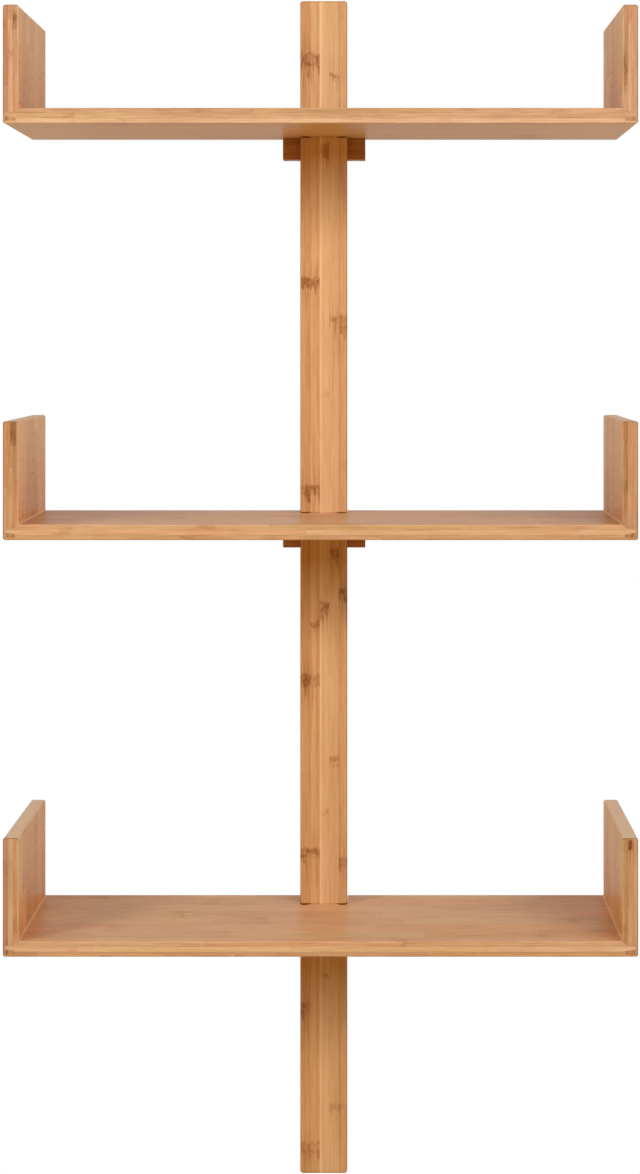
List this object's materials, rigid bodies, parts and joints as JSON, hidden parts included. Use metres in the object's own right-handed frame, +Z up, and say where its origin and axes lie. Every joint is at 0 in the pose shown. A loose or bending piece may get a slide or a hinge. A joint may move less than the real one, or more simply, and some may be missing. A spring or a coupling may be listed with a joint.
{
  "type": "wall shelf",
  "caption": "Bamboo wall shelf: open trays with raised end panels, notched over one upright post and hung on the wall by cleats.",
  "frame": {"origin": "centre of the middle cleat's back face, in the plane of the wall", "axes": "+Z up along the post, +Y into the wall, +X to the right as seen from the front"},
  "size_m": [0.61, 0.15, 1.2],
  "materials": {
    "bamboo_post": "carbonised laminated bamboo, satin lacquer, grain upright",
    "bamboo_board": "carbonised laminated bamboo, satin lacquer, grain along the board",
    "bamboo_panel": "carbonised laminated bamboo, satin lacquer, grain upright",
    "bamboo_cleat": "carbonised laminated bamboo, satin lacquer",
    "zinc_plate": "zinc plated, satin",
    "screw_steel": "yellow zinc plated"
  },
  "bodies": {
    "root": {"post": "bamboo_post", "upper_board": "bamboo_board", "upper_left_panel": "bamboo_panel", "upper_right_panel": "bamboo_panel", "upper_cleat": "bamboo_cleat", "upper_hanger_plate": "zinc_plate", "upper_board_screw_left": "screw_steel", "upper_board_screw_right": "screw_steel", "upper_post_screw_left": "screw_steel", "upper_post_screw_right": "screw_steel", "middle_board": "bamboo_board", "middle_left_panel": "bamboo_panel", "middle_right_panel": "bamboo_panel", "middle_cleat": "bamboo_cleat", "middle_board_screw_left": "screw_steel", "middle_board_screw_right": "screw_steel", "middle_post_screw_left": "screw_steel", "middle_post_screw_right": "screw_steel", "lower_board": "bamboo_board", "lower_left_panel": "bamboo_panel", "lower_right_panel": "bamboo_panel", "lower_cleat": "bamboo_cleat", "lower_hanger_plate": "zinc_plate", "lower_board_screw_left": "screw_steel", "lower_board_screw_right": "screw_steel", "lower_post_screw_left": "screw_steel", "lower_post_screw_right": "screw_steel"}
  },
  "joints": []
}
